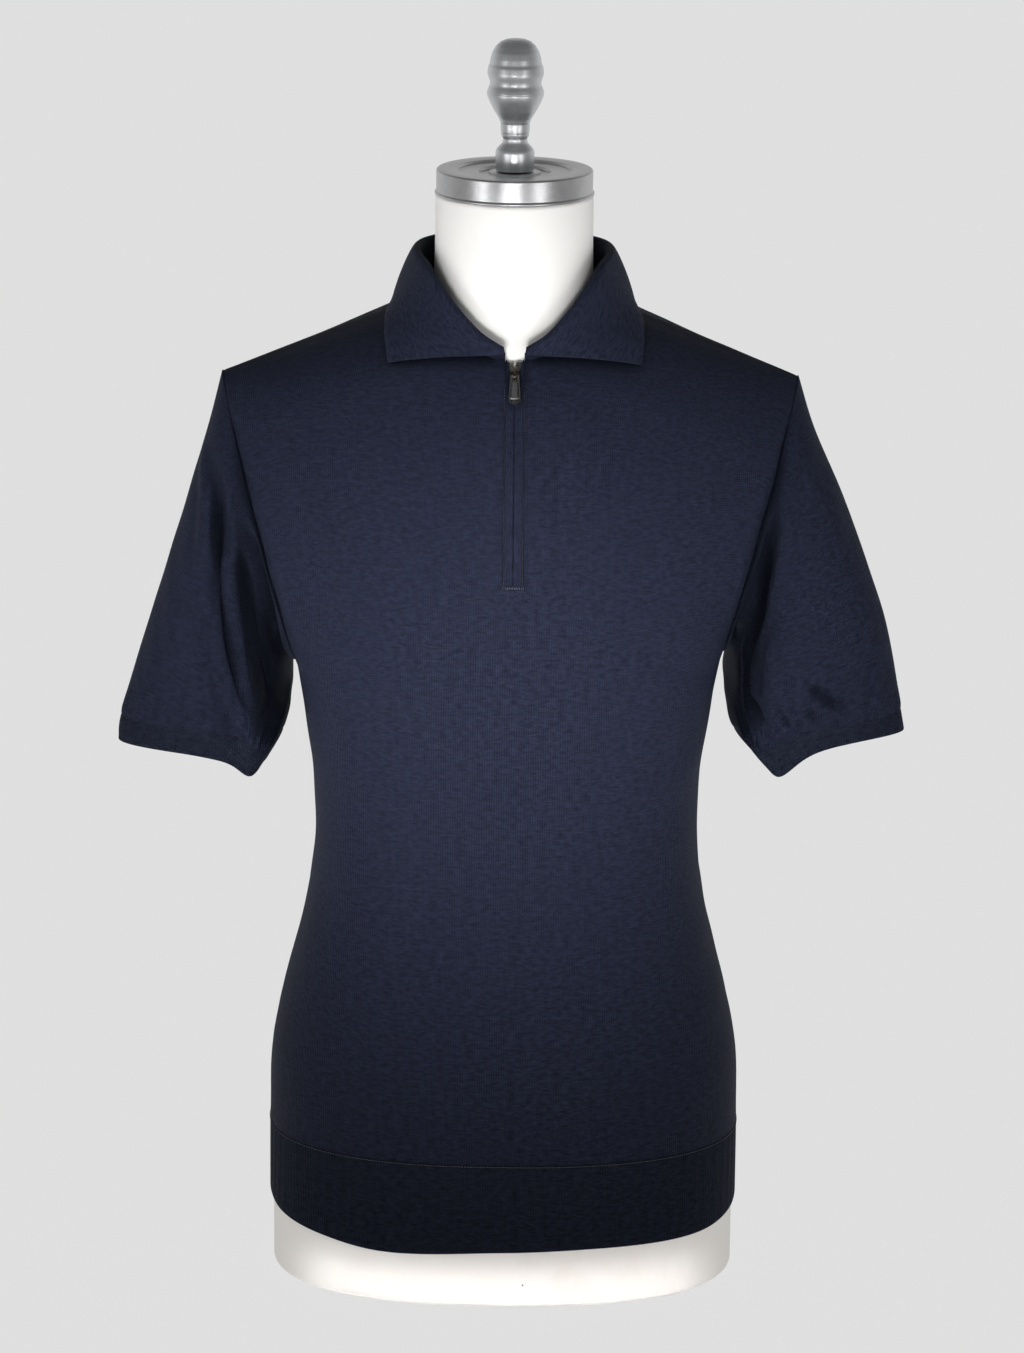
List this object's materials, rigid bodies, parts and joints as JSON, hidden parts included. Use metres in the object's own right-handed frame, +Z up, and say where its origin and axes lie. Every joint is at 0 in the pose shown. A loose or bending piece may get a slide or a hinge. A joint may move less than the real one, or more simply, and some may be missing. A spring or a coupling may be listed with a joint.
{
  "type": "polo shirt on dress form",
  "caption": "Short-sleeved knitted polo shirt with a collar, a quarter zip and ribbed hem and cuffs, fitted over a limbless dress form with a turned metal cap and knob.",
  "frame": {"origin": "middle of the dress form's flat underside, on the floor", "axes": "+Z up, front of the shirt towards -Y, +X towards the wearer's left arm"},
  "size_m": [0.5947, 0.2444, 0.9456],
  "materials": {
    "navy_jersey": "fine matt plain knit, very dark navy",
    "navy_rib": "fine rib knit, very dark navy",
    "zip_tape": "woven tape, near black",
    "gunmetal": "dark plated, satin",
    "form_cover": "smooth matt warm white shell",
    "brushed_steel": "turned, fine brushing"
  },
  "bodies": {
    "shirt_on_form": {"front_panel": "navy_jersey", "back_panel": "navy_jersey", "sleeve_left": "navy_jersey", "sleeve_right": "navy_jersey", "zip_facing_left": "navy_jersey", "zip_facing_right": "navy_jersey", "hem_rib": "navy_rib", "cuff_left": "navy_rib", "cuff_right": "navy_rib", "collar": "navy_rib", "zip_tape_left": "zip_tape", "zip_tape_right": "zip_tape", "zip_teeth_left": "gunmetal", "zip_teeth_right": "gunmetal", "zip_slider": "gunmetal", "form_torso": "form_cover", "form_neck_cap": "brushed_steel", "form_knob": "brushed_steel"},
    "pull_tab": {"pull_tab": "gunmetal"}
  },
  "joints": [
    {"name": "pull_tab_hinge", "type": "hinge", "parent": "shirt_on_form", "child": "pull_tab", "pos_m": [0.0033, -0.0861, 0.7108], "axis": [-1, 0, 0], "range_deg": [0, 140]}
  ]
}
